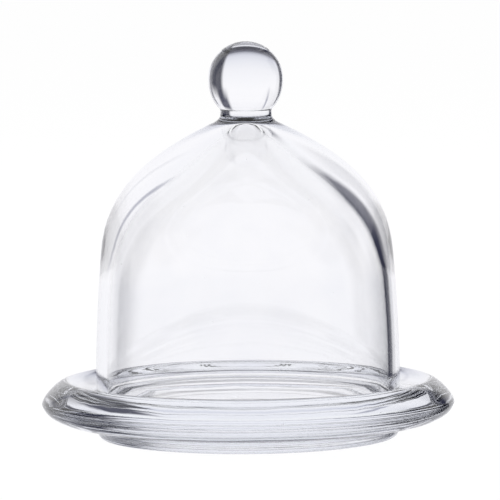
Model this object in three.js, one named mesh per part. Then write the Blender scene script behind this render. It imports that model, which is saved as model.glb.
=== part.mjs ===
import * as THREE from 'three';

// Cake plate with a lift-off glass bell. Millimetres, +Z up, standing on the origin.

// Bell
const domeRadius = 60.9;
const domeHeight = 107.5;
const domeTaper = 2.5;
const springHeight = 57.0;
const wallThickness = 4.4;
const crownThickness = 4.6;
const crownTip = 2.5;
const crownFall = 0.47;
const roofReach = 36.3;
const haunchDrop = 31.7;
const haunchInset = 5.6;
const innerTaper = 2.0;
const innerSpringDrop = 10.1;
const innerFlare = 0.8;
const innerBend = 8.0;
const lipStraight = 20.0;

// Knob
const neckRadius = 10.3;
const neckFlare = 4.0;
const neckHeight = 7.1;
const ballRadius = 15.0;

// Plate
const wellClearance = 4.1;
const wellDepth = 5.5;
const wellDish = 0.7;
const innerSlope = 7.6;
const rimWidth = 10.1;
const plateHeight = 23.4;
const noseHeight = 13.9;
const undersideHeight = 5.2;
const footInset = 4.6;
const footRound = 2.8;
const seatGap = 0.2;

// Facets round each turned piece
const segments = 56;

// Radii and heights that follow
const wellRadius = domeRadius + wellClearance;
const crestRadius = wellRadius + innerSlope;
const plateRadius = crestRadius + rimWidth;
const footRadius = wellRadius - footInset;
const wellZ = plateHeight - wellDepth;
const lipRadius = wallThickness / 2;
const lipZ = wellZ + seatGap;
const domeTop = lipZ + domeHeight;
const springZ = lipZ + springHeight;
const springRadius = domeRadius - domeTaper;
const neckBase = neckRadius + neckFlare;
const neckTop = domeTop + neckHeight;

function turned(name, path, steps, colour) {
  const geometry = new THREE.LatheGeometry(path.getPoints(steps), segments);
  geometry.rotateX(Math.PI / 2);
  const material = new THREE.MeshStandardMaterial({
    color: colour,
    roughness: 0.05,
    metalness: 0,
    transparent: true,
    opacity: 0.35,
  });
  const mesh = new THREE.Mesh(geometry, material);
  mesh.name = name;
  return mesh;
}

// Flat ground base, rounded rim, sloping inner side, dished well
function plateOutline() {
  const overhang = plateRadius - footRadius;
  const drop = noseHeight - undersideHeight;
  const rise = plateHeight - noseHeight;
  const path = new THREE.Path();
  path.moveTo(0, 0);
  path.lineTo(footRadius - footRound, 0);
  path.absarc(footRadius - footRound, footRound, footRound, -Math.PI / 2, 0, false);
  path.quadraticCurveTo(footRadius, undersideHeight, footRadius + overhang * 0.16, undersideHeight);
  path.bezierCurveTo(footRadius + overhang * 0.5, undersideHeight + drop * 0.07,
    plateRadius - overhang * 0.07, undersideHeight + drop * 0.27, plateRadius, noseHeight);
  path.bezierCurveTo(plateRadius, noseHeight + rise * 0.27,
    crestRadius + rimWidth * 0.38, plateHeight, crestRadius, plateHeight);
  path.bezierCurveTo(crestRadius - innerSlope * 0.4, plateHeight,
    wellRadius + innerSlope * 0.3, wellZ, wellRadius, wellZ);
  path.quadraticCurveTo(wellRadius / 2, wellZ - wellDish, 0, wellZ - wellDish);
  return path;
}

// Cavity from its tip down to the rounded lip, then the outside up to a flat seat for the neck
function domeOutline() {
  const tipZ = domeTop - crownThickness;
  const roofZ = tipZ - crownTip * crownFall * 0.55;
  const inside = domeRadius - wallThickness;
  const innerSpring = inside - innerTaper;
  const innerSpringZ = springZ - innerSpringDrop;
  const shoulder = domeTop - springZ;
  const path = new THREE.Path();
  path.moveTo(0, tipZ);
  path.quadraticCurveTo(crownTip * 0.5, tipZ, crownTip, roofZ);
  path.bezierCurveTo(roofReach, roofZ - (roofReach - crownTip) * crownFall,
    inside - haunchInset, domeTop - haunchDrop, innerSpring, innerSpringZ);
  path.bezierCurveTo(innerSpring + innerFlare, innerSpringZ - innerBend,
    inside, lipZ + lipStraight, inside, lipZ + lipRadius);
  path.absarc(domeRadius - lipRadius, lipZ + lipRadius, lipRadius, Math.PI, 2 * Math.PI, false);
  path.bezierCurveTo(domeRadius, lipZ + springHeight * 0.4,
    springRadius + domeTaper * 0.48, lipZ + springHeight * 0.75, springRadius, springZ);
  path.bezierCurveTo(springRadius - domeTaper * 0.8, springZ + shoulder * 0.49,
    springRadius * 0.665, springZ + shoulder * 0.77, neckBase, domeTop);
  path.lineTo(0, domeTop);
  return path;
}

// Flared base on the dome, waist under the ball
function neckOutline() {
  const path = new THREE.Path();
  path.moveTo(0, domeTop);
  path.lineTo(neckBase, domeTop);
  path.bezierCurveTo(neckBase - neckFlare * 0.57, domeTop + neckHeight * 0.17,
    neckRadius, domeTop + neckHeight * 0.4, neckRadius, domeTop + neckHeight * 0.76);
  path.lineTo(neckRadius, neckTop);
  path.lineTo(0, neckTop);
  return path;
}

// Ball, cut flat where it meets the neck
function ballOutline() {
  const rise = Math.sqrt(ballRadius * ballRadius - neckRadius * neckRadius);
  const path = new THREE.Path();
  path.moveTo(0, neckTop);
  path.lineTo(neckRadius, neckTop);
  path.absarc(0, neckTop + rise, ballRadius, -Math.atan2(rise, neckRadius), Math.PI / 2, false);
  return path;
}

const group = new THREE.Group();
group.name = 'cake_plate_with_glass_bell';
group.add(turned('plate', plateOutline(), 5, 0xe6eef2));
group.add(turned('dome', domeOutline(), 7, 0xeef3f5));
group.add(turned('knob_neck', neckOutline(), 4, 0xe9eff2));
group.add(turned('knob_ball', ballOutline(), 6, 0xe9eff2));

export default group;
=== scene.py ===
import math

import bpy
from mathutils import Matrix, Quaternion, Vector


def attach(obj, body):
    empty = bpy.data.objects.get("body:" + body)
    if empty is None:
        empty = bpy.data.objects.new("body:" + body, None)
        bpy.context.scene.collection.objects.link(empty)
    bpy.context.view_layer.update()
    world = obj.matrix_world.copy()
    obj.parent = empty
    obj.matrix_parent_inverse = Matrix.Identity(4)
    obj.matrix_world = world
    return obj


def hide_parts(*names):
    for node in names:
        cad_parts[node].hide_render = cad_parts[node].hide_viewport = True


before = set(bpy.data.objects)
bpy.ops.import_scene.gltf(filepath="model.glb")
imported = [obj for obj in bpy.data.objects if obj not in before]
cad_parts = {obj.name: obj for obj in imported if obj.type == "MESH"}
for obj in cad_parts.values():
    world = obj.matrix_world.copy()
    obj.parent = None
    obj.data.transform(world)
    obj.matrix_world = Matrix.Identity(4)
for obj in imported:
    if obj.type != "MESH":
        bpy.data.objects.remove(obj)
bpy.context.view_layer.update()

# Bell, in metres
DOME_RADIUS = 0.0609
DOME_HEIGHT = 0.1075
DOME_TAPER = 0.0025
SPRING_HEIGHT = 0.057
WALL = 0.0044
CROWN = 0.0046
CROWN_TIP = 0.0025
CROWN_FALL = 0.47
CROWN_REACH = 0.0363
HAUNCH_DROP = 0.0317
HAUNCH_INSET = 0.0056
INNER_SPRING_DROP = 0.0101
INNER_TAPER = 0.002
INNER_FLARE = 0.0008
INNER_BEND = 0.008
LIP_STRAIGHT = 0.02

# Knob
NECK_RADIUS = 0.0103
NECK_FLARE = 0.004
NECK_HEIGHT = 0.0071
WAIST_HEIGHT = 0.0037
SEAM_HEIGHT = 0.0053
CREASE = 0.0008
BALL_RADIUS = 0.015

# Plate
WELL_CLEARANCE = 0.0041
WELL_DEPTH = 0.0055
WELL_DISH = 0.0007
INNER_SLOPE = 0.0076
RIM_WIDTH = 0.0101
PLATE_HEIGHT = 0.0234
NOSE_HEIGHT = 0.0139
UNDERSIDE = 0.0052
FOOT_INSET = 0.0046
FOOT_ROUND = 0.0028
SEAT_GAP = 0.0002

# Radii and heights that follow
WELL_RADIUS = DOME_RADIUS + WELL_CLEARANCE
CREST_RADIUS = WELL_RADIUS + INNER_SLOPE
PLATE_RADIUS = CREST_RADIUS + RIM_WIDTH
FOOT_RADIUS = WELL_RADIUS - FOOT_INSET
WELL_Z = PLATE_HEIGHT - WELL_DEPTH
LIP_Z = WELL_Z + SEAT_GAP
DOME_TOP = LIP_Z + DOME_HEIGHT
SPRING_Z = LIP_Z + SPRING_HEIGHT
SPRING_RADIUS = DOME_RADIUS - DOME_TAPER
NECK_TOP = DOME_TOP + NECK_HEIGHT
BALL_Z = NECK_TOP + math.sqrt(BALL_RADIUS**2 - NECK_RADIUS**2)

# Handle of a quarter circle, as a share of its radius
ROUND = 0.5523

# Fineness of the meshes
CURVE_STEPS = 16
LATHE_STEPS = 192
OUTLINE_MERGE = 0.000001
SEAM_MERGE = 0.000002

# Width and depth of the waves that the glass kept
PRESSED_WAVES = (0.03, 0.00015)
BLOWN_WAVES = (0.045, 0.00004)

# Scale and height of the fine ripples
PRESSED_RIPPLES = (90, 0.000008)
BLOWN_RIPPLES = (60, 0.000004)

# Glass and what lies on it
GLASS_IOR = 1.52
TINT = (0.86, 0.885, 0.94, 1)
TINT_DENSITY = 5
LIGHT_THROUGH = (0.9, 0.91, 0.93, 1)
CLEAN = (1, 1, 1, 1)
FILM = (0.975, 0.978, 0.985, 1)
FILM_SCALE = 60
WIPE_SCALE = 38
WIPE_ROUGHNESS = 0.012
SPECK_SPACING = 0.0045
SPECK_RADIUS = 0.0003
SPECK_SHARE = 0.06
SPECK_ROUGHNESS = 0.45
PATCH_DETAIL = 2
PATCH_START = 0.45
PATCH_FULL = 0.75


def draw_outline(name, start, strokes):
    """Half of a turned piece as a curve. A stroke is two handles and an end, or only an end."""
    bpy.ops.object.select_all(action="DESELECT")
    bpy.ops.curve.primitive_bezier_curve_add(location=(0, 0, 0))
    outline = bpy.context.object
    outline.name = name
    outline.data.dimensions = "3D"
    spline = outline.data.splines[0]
    spline.resolution_u = CURVE_STEPS
    spline.bezier_points.add(len(strokes) - 1)
    knots = spline.bezier_points
    for knot in knots:
        knot.handle_left_type = "FREE"
        knot.handle_right_type = "FREE"
    knots[0].co = (start[0], 0, start[1])
    knots[0].handle_left = knots[0].co
    for before, knot, stroke in zip(knots[:-1], knots[1:], strokes):
        knot.co = (stroke[-1][0], 0, stroke[-1][1])
        if len(stroke) == 3:
            before.handle_right = (stroke[0][0], 0, stroke[0][1])
            knot.handle_left = (stroke[1][0], 0, stroke[1][1])
        else:
            before.handle_right = before.co.lerp(knot.co, 1 / 3)
            knot.handle_left = before.co.lerp(knot.co, 2 / 3)
        knot.handle_right = knot.co
    bpy.ops.object.convert(target="MESH")
    return bpy.context.object


def turn_on_lathe():
    """The outline just drawn is spun round the axis and closed into one smooth body."""
    bpy.ops.object.mode_set(mode="EDIT")
    bpy.ops.mesh.select_all(action="SELECT")
    bpy.ops.mesh.remove_doubles(threshold=OUTLINE_MERGE)
    bpy.ops.mesh.select_all(action="SELECT")
    bpy.ops.mesh.spin(steps=LATHE_STEPS, angle=math.tau, center=(0, 0, 0), axis=(0, 0, 1))
    bpy.ops.mesh.select_all(action="SELECT")
    bpy.ops.mesh.remove_doubles(threshold=SEAM_MERGE)
    bpy.ops.mesh.select_all(action="SELECT")
    bpy.ops.mesh.normals_make_consistent(inside=False)
    bpy.ops.object.mode_set(mode="OBJECT")
    bpy.ops.object.shade_smooth()


def let_it_flow(piece, name, width, depth):
    """Low waves that molten glass keeps when it sets, all sunk into the surface."""
    waves = bpy.data.textures.new(name, "CLOUDS")
    waves.noise_scale = width
    waves.noise_depth = 1
    swell = piece.modifiers.new(name, "DISPLACE")
    swell.texture = waves
    swell.texture_coords = "LOCAL"
    swell.mid_level = 1
    swell.strength = depth
    bpy.ops.object.modifier_apply(modifier=swell.name)


def make_plate():
    """Flat base, foot, underside, nose, crest, inner slope and dished well, in this order."""
    overhang = PLATE_RADIUS - FOOT_RADIUS
    drop = NOSE_HEIGHT - UNDERSIDE
    rise = PLATE_HEIGHT - NOSE_HEIGHT
    land = FOOT_RADIUS - FOOT_ROUND
    ease = FOOT_ROUND * ROUND
    strokes = [
        [(land, 0)],
        [(land + ease, 0), (FOOT_RADIUS, FOOT_ROUND - ease), (FOOT_RADIUS, FOOT_ROUND)],
        [
            (FOOT_RADIUS, UNDERSIDE * 0.85),
            (FOOT_RADIUS + overhang * 0.05, UNDERSIDE),
            (FOOT_RADIUS + overhang * 0.16, UNDERSIDE),
        ],
        [
            (FOOT_RADIUS + overhang * 0.5, UNDERSIDE + drop * 0.07),
            (PLATE_RADIUS - overhang * 0.07, UNDERSIDE + drop * 0.27),
            (PLATE_RADIUS, NOSE_HEIGHT),
        ],
        [
            (PLATE_RADIUS, NOSE_HEIGHT + rise * 0.27),
            (CREST_RADIUS + RIM_WIDTH * 0.38, PLATE_HEIGHT),
            (CREST_RADIUS, PLATE_HEIGHT),
        ],
        [
            (CREST_RADIUS - INNER_SLOPE * 0.4, PLATE_HEIGHT),
            (WELL_RADIUS + INNER_SLOPE * 0.3, WELL_Z),
            (WELL_RADIUS, WELL_Z),
        ],
        [
            (WELL_RADIUS * 0.66, WELL_Z - WELL_DISH * 0.7),
            (WELL_RADIUS * 0.33, WELL_Z - WELL_DISH),
            (0, WELL_Z - WELL_DISH),
        ],
    ]
    plate = draw_outline("glass_plate", (0, 0), strokes)
    turn_on_lathe()
    return plate


def make_cloche():
    """One closed body: inside of the bell from its tip down, lip, outside, neck, crease and ball."""
    tip_z = DOME_TOP - CROWN
    cone_z = tip_z - CROWN_TIP * CROWN_FALL * 0.55
    inside = DOME_RADIUS - WALL
    inner_spring = inside - INNER_TAPER
    inner_spring_z = SPRING_Z - INNER_SPRING_DROP
    shoulder = DOME_TOP - SPRING_Z
    lip = WALL / 2
    ease = lip * ROUND
    neck_base = NECK_RADIUS + NECK_FLARE
    seam_z = DOME_TOP + SEAM_HEIGHT
    under_ball = NECK_RADIUS + CREASE * 0.3
    under_ball_z = seam_z + CREASE * 1.1
    tuck = BALL_RADIUS * ROUND
    strokes = [
        [
            (CROWN_TIP * 0.4, tip_z),
            (CROWN_TIP * 0.7, cone_z + CROWN_TIP * CROWN_FALL * 0.3),
            (CROWN_TIP, cone_z),
        ],
        [
            (CROWN_REACH, cone_z - (CROWN_REACH - CROWN_TIP) * CROWN_FALL),
            (inside - HAUNCH_INSET, DOME_TOP - HAUNCH_DROP),
            (inner_spring, inner_spring_z),
        ],
        [
            (inner_spring + INNER_FLARE, inner_spring_z - INNER_BEND),
            (inside, LIP_Z + LIP_STRAIGHT),
            (inside, LIP_Z + lip),
        ],
        [(inside, LIP_Z + lip - ease), (inside + lip - ease, LIP_Z), (inside + lip, LIP_Z)],
        [(inside + lip + ease, LIP_Z), (DOME_RADIUS, LIP_Z + lip - ease), (DOME_RADIUS, LIP_Z + lip)],
        [
            (DOME_RADIUS, LIP_Z + SPRING_HEIGHT * 0.4),
            (SPRING_RADIUS + DOME_TAPER * 0.48, LIP_Z + SPRING_HEIGHT * 0.75),
            (SPRING_RADIUS, SPRING_Z),
        ],
        [
            (SPRING_RADIUS - DOME_TAPER * 0.8, SPRING_Z + shoulder * 0.49),
            (SPRING_RADIUS * 0.665, SPRING_Z + shoulder * 0.77),
            (neck_base, DOME_TOP),
        ],
        [
            (neck_base - NECK_FLARE * 0.6, DOME_TOP + NECK_FLARE * 0.22),
            (NECK_RADIUS, DOME_TOP + NECK_FLARE * 0.58),
            (NECK_RADIUS, DOME_TOP + WAIST_HEIGHT),
        ],
        [(NECK_RADIUS, seam_z)],
        [
            (NECK_RADIUS, seam_z + CREASE * 0.5),
            (NECK_RADIUS + CREASE * 0.1, seam_z + CREASE * 0.8),
            (under_ball, under_ball_z),
        ],
        [
            (under_ball + BALL_RADIUS * 0.2, under_ball_z + BALL_RADIUS * 0.18),
            (BALL_RADIUS, BALL_Z - BALL_RADIUS * 0.284),
            (BALL_RADIUS, BALL_Z),
        ],
        [(BALL_RADIUS, BALL_Z + tuck), (tuck, BALL_Z + BALL_RADIUS), (0, BALL_Z + BALL_RADIUS)],
    ]
    cloche = draw_outline("glass_cloche", (0, tip_z), strokes)
    turn_on_lathe()
    return cloche


def new_nodes(holder):
    """The empty node tree of a new material or world."""
    holder.use_nodes = True
    holder.node_tree.nodes.clear()
    return holder.node_tree.nodes, holder.node_tree.links


def sums(nodes, links, operation, first, second):
    """Two values joined by one sum. The second may be a plain number."""
    answer = nodes.new("ShaderNodeMath")
    answer.operation = operation
    links.new(first, answer.inputs[0])
    if isinstance(second, float):
        answer.inputs[1].default_value = second
    else:
        links.new(second, answer.inputs[1])
    return answer.outputs[0]


def cloudy(nodes, links, place, scale, low, high):
    """Soft patches from low to high, fixed to the piece."""
    patches = nodes.new("ShaderNodeTexNoise")
    patches.inputs["Scale"].default_value = scale
    patches.inputs["Detail"].default_value = PATCH_DETAIL
    links.new(place, patches.inputs["Vector"])
    level = nodes.new("ShaderNodeMapRange")
    level.inputs["From Min"].default_value = PATCH_START
    level.inputs["From Max"].default_value = PATCH_FULL
    level.inputs["To Min"].default_value = low
    level.inputs["To Max"].default_value = high
    links.new(patches.outputs["Fac"], level.inputs["Value"])
    return level.outputs["Result"]


def dust(nodes, links, place):
    """A few round specks on the glass."""
    cells = nodes.new("ShaderNodeTexVoronoi")
    cells.inputs["Scale"].default_value = 1 / SPECK_SPACING
    links.new(place, cells.inputs["Vector"])
    lot = nodes.new("ShaderNodeSeparateColor")
    links.new(cells.outputs["Color"], lot.inputs[0])
    inside = sums(nodes, links, "LESS_THAN", cells.outputs["Distance"], SPECK_RADIUS / SPECK_SPACING)
    chosen = sums(nodes, links, "LESS_THAN", lot.outputs[0], SPECK_SHARE)
    return sums(nodes, links, "MULTIPLY", inside, chosen)


def clear_glass(name, ripple_scale, ripple_height):
    """Clear soda glass with faint wipe marks, specks and ripples. Thick places take a cool tint."""
    material = bpy.data.materials.new(name)
    nodes, links = new_nodes(material)
    out = nodes.new("ShaderNodeOutputMaterial")
    place = nodes.new("ShaderNodeTexCoord").outputs["Object"]
    wiped = cloudy(nodes, links, place, WIPE_SCALE, 0.0, WIPE_ROUGHNESS)
    rough = sums(nodes, links, "MULTIPLY_ADD", dust(nodes, links, place), SPECK_ROUGHNESS)
    links.new(wiped, rough.node.inputs[2])
    ripples = nodes.new("ShaderNodeBump")
    ripples.inputs["Strength"].default_value = 1
    ripples.inputs["Distance"].default_value = 1
    height = cloudy(nodes, links, place, ripple_scale, 0.0, ripple_height)
    links.new(height, ripples.inputs["Height"])
    film = nodes.new("ShaderNodeMix")
    film.data_type = "RGBA"
    film.inputs["A"].default_value = CLEAN
    film.inputs["B"].default_value = FILM
    links.new(cloudy(nodes, links, place, FILM_SCALE, 0.0, 1.0), film.inputs["Factor"])
    glass = nodes.new("ShaderNodeBsdfPrincipled")
    glass.inputs["IOR"].default_value = GLASS_IOR
    glass.inputs["Transmission Weight"].default_value = 1.0
    links.new(film.outputs["Result"], glass.inputs["Base Color"])
    links.new(rough, glass.inputs["Roughness"])
    links.new(ripples.outputs["Normal"], glass.inputs["Normal"])
    # Lamp light passes straight through, so the floor keeps a soft shadow
    through = nodes.new("ShaderNodeBsdfTransparent")
    through.inputs["Color"].default_value = LIGHT_THROUGH
    path = nodes.new("ShaderNodeLightPath")
    shadow = path.outputs["Is Shadow Ray"]
    lets_light = sums(nodes, links, "MAXIMUM", shadow, path.outputs["Is Diffuse Ray"])
    mix = nodes.new("ShaderNodeMixShader")
    links.new(lets_light, mix.inputs["Fac"])
    links.new(glass.outputs["BSDF"], mix.inputs[1])
    links.new(through.outputs["BSDF"], mix.inputs[2])
    links.new(mix.outputs["Shader"], out.inputs["Surface"])
    tint = nodes.new("ShaderNodeVolumeAbsorption")
    tint.inputs["Color"].default_value = TINT
    tint.inputs["Density"].default_value = TINT_DENSITY
    links.new(tint.outputs["Volume"], out.inputs["Volume"])
    return material


def dress(piece, material, body, slot, *nodes):
    """The piece gets its glass and its body, and the solids that it stands for are hidden. The slot
    is not used.
    """
    piece.data.materials.clear()
    piece.data.materials.append(material)
    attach(piece, body)
    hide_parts(*nodes)


# Table top
TABLE_SIDES = 96
TABLE_RADIUS = 4.0
TABLE_Z = -0.0003
TABLE_PAINT = (0.8, 0.8, 0.8, 1)
TABLE_WHITE = 0.965
PURE_WHITE = (1, 1, 1, 1)


def make_floor():
    """A white table top. The camera sees it nearly white, and it takes the object's shadow."""
    bpy.ops.object.select_all(action="DESELECT")
    bpy.ops.mesh.primitive_circle_add(
        vertices=TABLE_SIDES, radius=TABLE_RADIUS, fill_type="NGON", location=(0, 0, TABLE_Z)
    )
    floor = bpy.context.object
    floor.name = "floor"
    bpy.ops.object.transform_apply(location=True, rotation=True, scale=True)
    material = bpy.data.materials.new("white_table")
    nodes, links = new_nodes(material)
    out = nodes.new("ShaderNodeOutputMaterial")
    paint = nodes.new("ShaderNodeBsdfDiffuse")
    paint.inputs["Color"].default_value = TABLE_PAINT
    white = nodes.new("ShaderNodeEmission")
    white.inputs["Color"].default_value = PURE_WHITE
    seen = nodes.new("ShaderNodeMixShader")
    seen.inputs["Fac"].default_value = TABLE_WHITE
    links.new(paint.outputs[0], seen.inputs[1])
    links.new(white.outputs[0], seen.inputs[2])
    path = nodes.new("ShaderNodeLightPath")
    last = nodes.new("ShaderNodeMixShader")
    links.new(path.outputs["Is Camera Ray"], last.inputs["Fac"])
    links.new(paint.outputs[0], last.inputs[1])
    links.new(seen.outputs[0], last.inputs[2])
    links.new(last.outputs[0], out.inputs["Surface"])
    floor.data.materials.append(material)
    floor.visible_glossy = False
    floor.visible_transmission = False


# Colours of the room and of the flags that stand in it
WHITE = (0.99, 0.99, 1)
FULL = (1, 1, 1)
NONE = (0, 0, 0)
LEFT_FLAG = (0.027, 0.029, 0.055)
LEFT_STRIP = (0.4, 0.41, 0.48)
RIGHT_FLAG = (0.023, 0.025, 0.046)
RIGHT_STRIP = (0.045, 0.048, 0.085)

# Headings go clockwise from the back of the object, seen from above
LOW_FLAGS = [
    (-180, WHITE),
    (-79, WHITE),
    (-74, LEFT_FLAG),
    (-58, LEFT_FLAG),
    (-53, WHITE),
    (26.5, WHITE),
    (31.5, RIGHT_FLAG),
    (66, RIGHT_FLAG),
    (76, WHITE),
    (180, WHITE),
]
HIGH_FLAGS = [
    (-180, WHITE),
    (-84, WHITE),
    (-79, LEFT_FLAG),
    (-63, LEFT_FLAG),
    (-58, WHITE),
    (-32, WHITE),
    (-30.5, LEFT_STRIP),
    (-28.5, LEFT_STRIP),
    (-27, WHITE),
    (20.5, WHITE),
    (25.5, RIGHT_STRIP),
    (38, RIGHT_STRIP),
    (44, WHITE),
    (57, WHITE),
    (62, RIGHT_FLAG),
    (80, RIGHT_FLAG),
    (88, WHITE),
    (180, WHITE),
]

# Heights at which the low flags give way to the high ones, and at which all flags end
FLAG_CHANGE = [(-90, NONE), (4, NONE), (22, FULL), (90, FULL)]
FLAG_HEIGHTS = [(-90, WHITE), (33, WHITE), (43, NONE), (90, NONE)]

# Light by height behind and beside the object, where the table ends in a dark gap
SIDE_SPREAD = 0.45
FLOOR_TO_CEILING = [
    (-90, (0.66, 0.67, 0.74)),
    (-72, (0.6, 0.61, 0.7)),
    (-61, (0.05, 0.052, 0.085)),
    (-46, (0.02, 0.02, 0.038)),
    (-40, (0.13, 0.13, 0.17)),
    (-36, (0.5, 0.51, 0.58)),
    (-32, (0.7, 0.71, 0.78)),
    (-24, (0.82, 0.83, 0.88)),
    (-14, (0.91, 0.91, 0.94)),
    (-6, (0.94, 0.94, 0.965)),
    (7, (0.99, 0.985, 1)),
    (18, (0.99, 0.985, 1)),
    (45, (0.93, 0.93, 0.96)),
    (60, FULL),
    (90, FULL),
]

# Light by height in front of the object, where the table goes on
FRONT_FLOOR = [
    (-90, (0.66, 0.67, 0.74)),
    (-75, (0.84, 0.84, 0.88)),
    (-30, (0.84, 0.84, 0.88)),
    (-14, (0.91, 0.91, 0.94)),
    (7, (0.99, 0.985, 1)),
    (90, (0.99, 0.985, 1)),
]

# How far forward a direction points where the front light starts, and where it is the only one
FRONT_START = -0.2
FRONT_FULL = -0.4

# Widest heading and steepest height, in degrees
HALF_TURN = 180
UPRIGHT = 90


def angle_ramp(nodes, links, angle, widest, stops):
    """Light and shade round the object, by an angle in degrees from minus widest to plus widest."""
    scale = nodes.new("ShaderNodeMapRange")
    scale.inputs["From Min"].default_value = -math.radians(widest)
    scale.inputs["From Max"].default_value = math.radians(widest)
    links.new(angle, scale.inputs["Value"])
    ramp = nodes.new("ShaderNodeValToRGB")
    points = ramp.color_ramp.elements
    while len(points) < len(stops):
        points.new(0.5)
    for point, (degrees, colour) in zip(points, stops):
        point.position = (degrees + widest) / (2 * widest)
    for point, (degrees, colour) in zip(points, stops):
        point.color = (*colour, 1)
    links.new(scale.outputs["Result"], ramp.inputs["Fac"])
    return ramp.outputs["Color"]


def blended(nodes, links, amount, first, second):
    """The first colour goes over into the second by an amount."""
    mix = nodes.new("ShaderNodeMix")
    mix.data_type = "RGBA"
    links.new(amount, mix.inputs["Factor"])
    links.new(second, mix.inputs["B"])
    if isinstance(first, tuple):
        mix.inputs["A"].default_value = first
    else:
        links.new(first, mix.inputs["A"])
    return mix.outputs["Result"]


def make_world():
    """White paper round the object, dark flags at its sides, and a table that ends in a dark gap."""
    world = bpy.data.worlds.new("studio")
    bpy.context.scene.world = world
    nodes, links = new_nodes(world)
    out = nodes.new("ShaderNodeOutputWorld")
    where = nodes.new("ShaderNodeTexCoord")
    split = nodes.new("ShaderNodeSeparateXYZ")
    links.new(where.outputs["Generated"], split.inputs[0])
    heading = sums(nodes, links, "ARCTAN2", split.outputs["X"], split.outputs["Y"])
    arcsine = nodes.new("ShaderNodeMath")
    arcsine.operation = "ARCSINE"
    links.new(split.outputs["Z"], arcsine.inputs[0])
    rise = arcsine.outputs[0]
    # The table's dark edge is an arc, lower to the left and right than behind
    sideways = nodes.new("ShaderNodeVectorMath")
    sideways.operation = "MULTIPLY"
    sideways.inputs[1].default_value = (SIDE_SPREAD, 1, 0)
    links.new(where.outputs["Generated"], sideways.inputs[0])
    away = nodes.new("ShaderNodeVectorMath")
    away.operation = "LENGTH"
    links.new(sideways.outputs["Vector"], away.inputs[0])
    pitch = sums(nodes, links, "ARCTAN2", split.outputs["Z"], away.outputs["Value"])
    in_front = nodes.new("ShaderNodeMapRange")
    in_front.inputs["From Min"].default_value = FRONT_START
    in_front.inputs["From Max"].default_value = FRONT_FULL
    links.new(split.outputs["Y"], in_front.inputs["Value"])
    behind = angle_ramp(nodes, links, pitch, UPRIGHT, FLOOR_TO_CEILING)
    before = angle_ramp(nodes, links, rise, UPRIGHT, FRONT_FLOOR)
    light = blended(nodes, links, in_front.outputs["Result"], behind, before)
    # Flags at the left and right. Higher up, each has a strip beside it.
    low = angle_ramp(nodes, links, heading, HALF_TURN, LOW_FLAGS)
    high = angle_ramp(nodes, links, heading, HALF_TURN, HIGH_FLAGS)
    change = angle_ramp(nodes, links, rise, UPRIGHT, FLAG_CHANGE)
    flags = blended(nodes, links, change, low, high)
    reach = angle_ramp(nodes, links, rise, UPRIGHT, FLAG_HEIGHTS)
    shade = blended(nodes, links, reach, PURE_WHITE, flags)
    flagged = nodes.new("ShaderNodeMix")
    flagged.data_type = "RGBA"
    flagged.blend_type = "MULTIPLY"
    flagged.inputs["Factor"].default_value = 1
    links.new(light, flagged.inputs["A"])
    links.new(shade, flagged.inputs["B"])
    room = nodes.new("ShaderNodeBackground")
    links.new(flagged.outputs["Result"], room.inputs["Color"])
    white = nodes.new("ShaderNodeBackground")
    white.inputs["Color"].default_value = PURE_WHITE
    path = nodes.new("ShaderNodeLightPath")
    mix = nodes.new("ShaderNodeMixShader")
    links.new(path.outputs["Is Camera Ray"], mix.inputs["Fac"])
    links.new(room.outputs[0], mix.inputs[1])
    links.new(white.outputs[0], mix.inputs[2])
    links.new(mix.outputs[0], out.inputs["Surface"])


# Lamp
LAMP_SIZE = 1.2
LAMP_POWER = 30
LAMP_PLACE = (-0.3, 0.5, 1.4)
LAMP_AIM = (0, 0, 0.05)

# Camera: sensor and lens in millimetres, places in metres, roll in degrees
SENSOR = 36
LENS = 397.6
FAR_END = 20
CAMERA_PLACE = (0.0012, -2.2, 0.272)
CAMERA_AIM = (0.0012, 0, 0.075)
CAMERA_ROLL = -0.45


def make_lamp():
    """One round soft box above and behind. The glass does not show it."""
    lamp = bpy.data.lights.new("soft_box", "AREA")
    lamp.shape = "DISK"
    lamp.size = LAMP_SIZE
    lamp.energy = LAMP_POWER
    holder = bpy.data.objects.new("soft_box", lamp)
    bpy.context.scene.collection.objects.link(holder)
    holder.location = LAMP_PLACE
    aim = Vector(LAMP_AIM) - holder.location
    holder.rotation_euler = aim.to_track_quat("-Z", "Y").to_euler()
    holder.visible_glossy = False
    holder.visible_transmission = False


def make_camera():
    """A long lens, a little above the object and turned by a small angle."""
    camera = bpy.data.cameras.new("camera")
    camera.sensor_width = SENSOR
    camera.lens = LENS
    camera.clip_end = FAR_END
    holder = bpy.data.objects.new("camera", camera)
    bpy.context.scene.collection.objects.link(holder)
    holder.location = CAMERA_PLACE
    aim = Vector(CAMERA_AIM) - holder.location
    roll = Quaternion((0, 0, 1), math.radians(CAMERA_ROLL))
    holder.rotation_mode = "QUATERNION"
    holder.rotation_quaternion = aim.to_track_quat("-Z", "Y") @ roll
    bpy.context.scene.camera = holder


plate = make_plate()
let_it_flow(plate, "pressing_waves", *PRESSED_WAVES)
cloche = make_cloche()
let_it_flow(cloche, "blowing_waves", *BLOWN_WAVES)
plate_glass = clear_glass("pressed_glass", *PRESSED_RIPPLES)
bell_glass = clear_glass("blown_glass", *BLOWN_RIPPLES)
dress(plate, plate_glass, "stand", "pressed_glass", "plate")
dress(cloche, bell_glass, "cloche", "blown_glass", "dome", "knob_neck", "knob_ball")

make_floor()
make_world()
make_lamp()
make_camera()

# Few inner reflections keep the thick rim free of grain
LIGHT_BOUNCES = 32
INNER_REFLECTIONS = 5

scene = bpy.context.scene
scene.view_settings.view_transform = "Standard"
scene.cycles.max_bounces = LIGHT_BOUNCES
scene.cycles.transmission_bounces = LIGHT_BOUNCES
scene.cycles.glossy_bounces = INNER_REFLECTIONS
